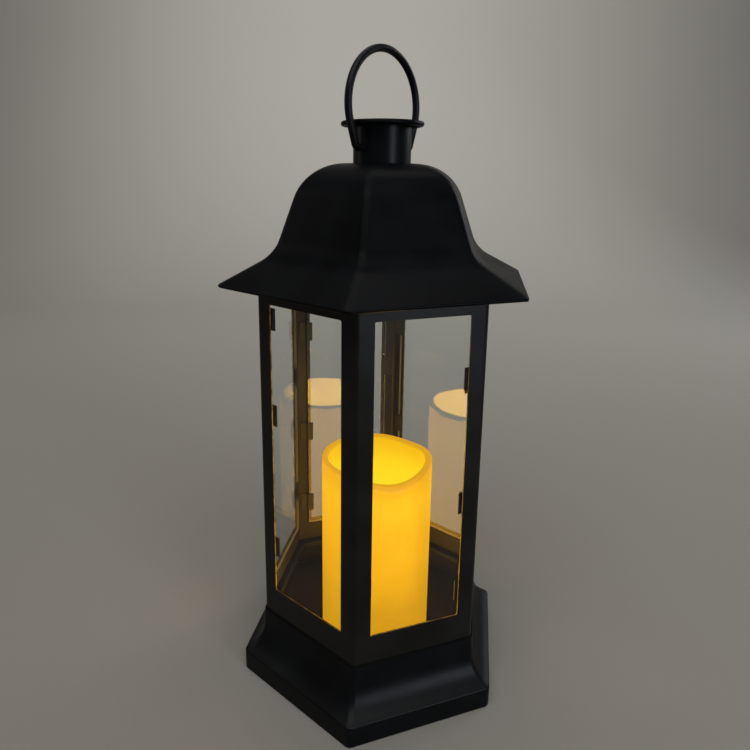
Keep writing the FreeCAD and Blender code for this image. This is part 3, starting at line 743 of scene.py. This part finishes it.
jacket = Finish("cell jacket")
cell_x = jacket.node("SeparateXYZ", {}, {"Vector": jacket.place}, "X")
cell_y = jacket.node("SeparateXYZ", {}, {"Vector": jacket.place}, "Y")
plus_way = (cell_y > cells_parting * mm) * 2 - 1
run = cell_x * plus_way
band = (run > band_start * mm) * (run < band_end * mm)
bare = run > bare_start * mm
jacket_color = jacket.blend(band, (0.10, 0.11, 0.12, 1), (0.55, 0.28, 0.06, 1))
scuff = jacket.noise(260, 3)
dress(["battery_1", "battery_2"], jacket.close(jacket.principled(
    Base_Color=jacket.blend(bare, jacket_color, (0.55, 0.55, 0.54, 1)), Metallic=bare * 0.9 + 0.1,
    Roughness=jacket.along(scuff, 0.3, 0.7, 0.22, 0.34),
    Normal=jacket.bump(scuff, 0.05, 0.0001))))

# Studio.
# A plain floor that curves up into a wall, soft lamps, and the camera at the photo's place. Lamps
# that the camera can't see stand over the candle's recess and round its wall, for its own light.

view_turn = math.radians(10.78)
view_tilt = math.radians(90 - 12.76)
view_roll = math.radians(0.49)
view_place = (0.0599, -0.3912, 0.3378)
studio_turn = math.radians(10.8)
floor_behind_camera = -1500
floor_length = 2600
wall_bend = 900
wall_height = 1600
sweep_width = 5.2

floor = bmesh.new()
draw_section(floor, (floor_behind_camera, 0), 0, [(floor_length,), (wall_bend, 90), (wall_height,)])
square_on = Matrix.Rotation(square + studio_turn, 3, "Z")
bmesh.ops.rotate(floor, verts=floor.verts[:], cent=(0, 0, 0), matrix=square_on)
sideways = Matrix.Rotation(studio_turn, 3, "Z") @ Vector((1, 0, 0))
bmesh.ops.translate(floor, verts=floor.verts[:], vec=sideways * -sweep_width / 2)
swept = bmesh.ops.extrude_edge_only(floor, edges=floor.edges[:])["geom"]
bmesh.ops.translate(
    floor, verts=[item for item in swept if isinstance(item, bmesh.types.BMVert)],
    vec=sideways * sweep_width)
bmesh.ops.recalc_face_normals(floor, faces=floor.faces[:])
for face in floor.faces:
    face.smooth = True
paper = Finish("studio paper")
# The paper is painted lighter round a point behind the lantern: a painted pool of light.
off_light_pool = paper.node(
    "VectorMath", {"operation": "DISTANCE"}, {0: paper.place, 1: (-0.35, 1.9, 0.9)}, "Value")
painted_light_pool = paper.along(off_light_pool + (paper.noise(2, 1) - 0.5) * 0.1, 0.1, 2.2)
fibres = paper.noise(1500, 3)
paper_material = paper.close(paper.principled(
    Base_Color=paper.blend(painted_light_pool, (0.44, 0.425, 0.39, 1), (0.176, 0.168, 0.150, 1)),
    Roughness=paper.along(fibres, 0.3, 0.7, 0.75, 0.9), Specular_IOR_Level=0.1,
    Normal=paper.bump(fibres, 0.05, 0.0002)))
sweep_data = bpy.data.meshes.new("studio_sweep")
floor.to_mesh(sweep_data)
floor.free()
sweep = bpy.data.objects.new("studio_sweep", sweep_data)
bpy.context.scene.collection.objects.link(sweep)
sweep_data.materials.append(paper_material)


def soft_lamp(name, place, target, width, height, power, color, shape="RECTANGLE"):
    """A flat soft lamp turned to a point."""
    light = bpy.data.lights.new(name, "AREA")
    light.shape = shape
    light.size = width
    light.size_y = height
    light.energy = power
    light.color = color
    lamp = bpy.data.objects.new(name, light)
    lamp.location = place
    lamp.rotation_euler = (Vector(target) - Vector(place)).to_track_quat("-Z", "Y").to_euler()
    bpy.context.scene.collection.objects.link(lamp)


soft_lamp("top_lamp", (0.1, -1.15, 2.15), (0, 0.2, 0), 2.6, 1.8, 50, (1.0, 0.985, 0.96))
soft_lamp("window_lamp", (1.5, -1.2, 0.46), (0, 0, 0.1), 0.5, 0.9, 16, (0.80, 0.90, 1.0))
soft_lamp("left_lamp", (-1.6, 0.1, 0.8), (0, 0, 0.15), 0.5, 0.9, 2.5, (1.0, 0.95, 0.88))
soft_lamp("back_lamp", (1.1, 1.1, 0.8), (0, 0, 0.05), 0.5, 0.7, 6, (0.92, 0.96, 1.0))
soft_lamp("wall_lamp", (-0.2, 0.7, 2.2), (-0.3, 2.0, 0.6), 1.6, 0.6, 17, (1.0, 0.98, 0.95))

glow_sink = 0.5
glow_place = (candle_top - glow_sink) * mm
glow_size = 2 * inner_edge_low * mm
soft_lamp(
    "candle_glow", (0, 0, glow_place), (0, 0, 1), glow_size, glow_size, 0.19, (1.0, 0.54, 0.07),
    "ELLIPSE")

strip_count = 12
strip_low = 20.0
strip_sink = 1.0
strip_gap = 0.4
strip_ring = candle_radius + strip_gap
strip_width = 2 * strip_ring * math.tan(math.pi / strip_count)
for k in range(strip_count):
    turn = k * 2 * math.pi / strip_count
    outward = Vector((math.cos(turn), math.sin(turn), 0))
    rim = candle_top - rim_drop(strip_ring * outward.x, strip_ring * outward.y)
    strip_high = rim - strip_sink
    middle = Vector((0, 0, (strip_low + strip_high) / 2 * mm))
    soft_lamp(
        "wax_glow_" + str(k + 1), middle + outward * strip_ring * mm, middle + outward,
        strip_width * mm, (strip_high - strip_low) * mm, 0.042, (1.0, 0.49, 0.03))

sky = Finish("studio sky", bpy.data.worlds, "OutputWorld")
shown = 0
for ray in ("Is Camera Ray", "Is Glossy Ray", "Is Transmission Ray"):
    shown = sky.math("MAXIMUM", shown, sky.node("LightPath", {}, {}, ray))
sky_color = sky.blend(shown, (0.105, 0.105, 0.1085, 1), (0.175, 0.170, 0.158, 1))
sky_light = sky.node("Background", {}, {"Color": sky_color, "Strength": 1.0})
bpy.context.scene.world = sky.close(sky_light)

camera_data = bpy.data.cameras.new("camera")
camera_data.sensor_width = 36
camera_data.lens = 29.63
camera_data.shift_x = 0.0232
camera_data.shift_y = -0.0867
camera_data.clip_start = 0.01
camera = bpy.data.objects.new("camera", camera_data)
aim = Matrix.Rotation(view_turn, 4, "Z") @ Matrix.Rotation(view_tilt, 4, "X")
camera.matrix_world = Matrix.Translation(view_place) @ aim @ Matrix.Rotation(view_roll, 4, "Z")
bpy.context.scene.collection.objects.link(camera)
bpy.context.scene.camera = camera
bpy.context.scene.view_settings.view_transform = "Standard"
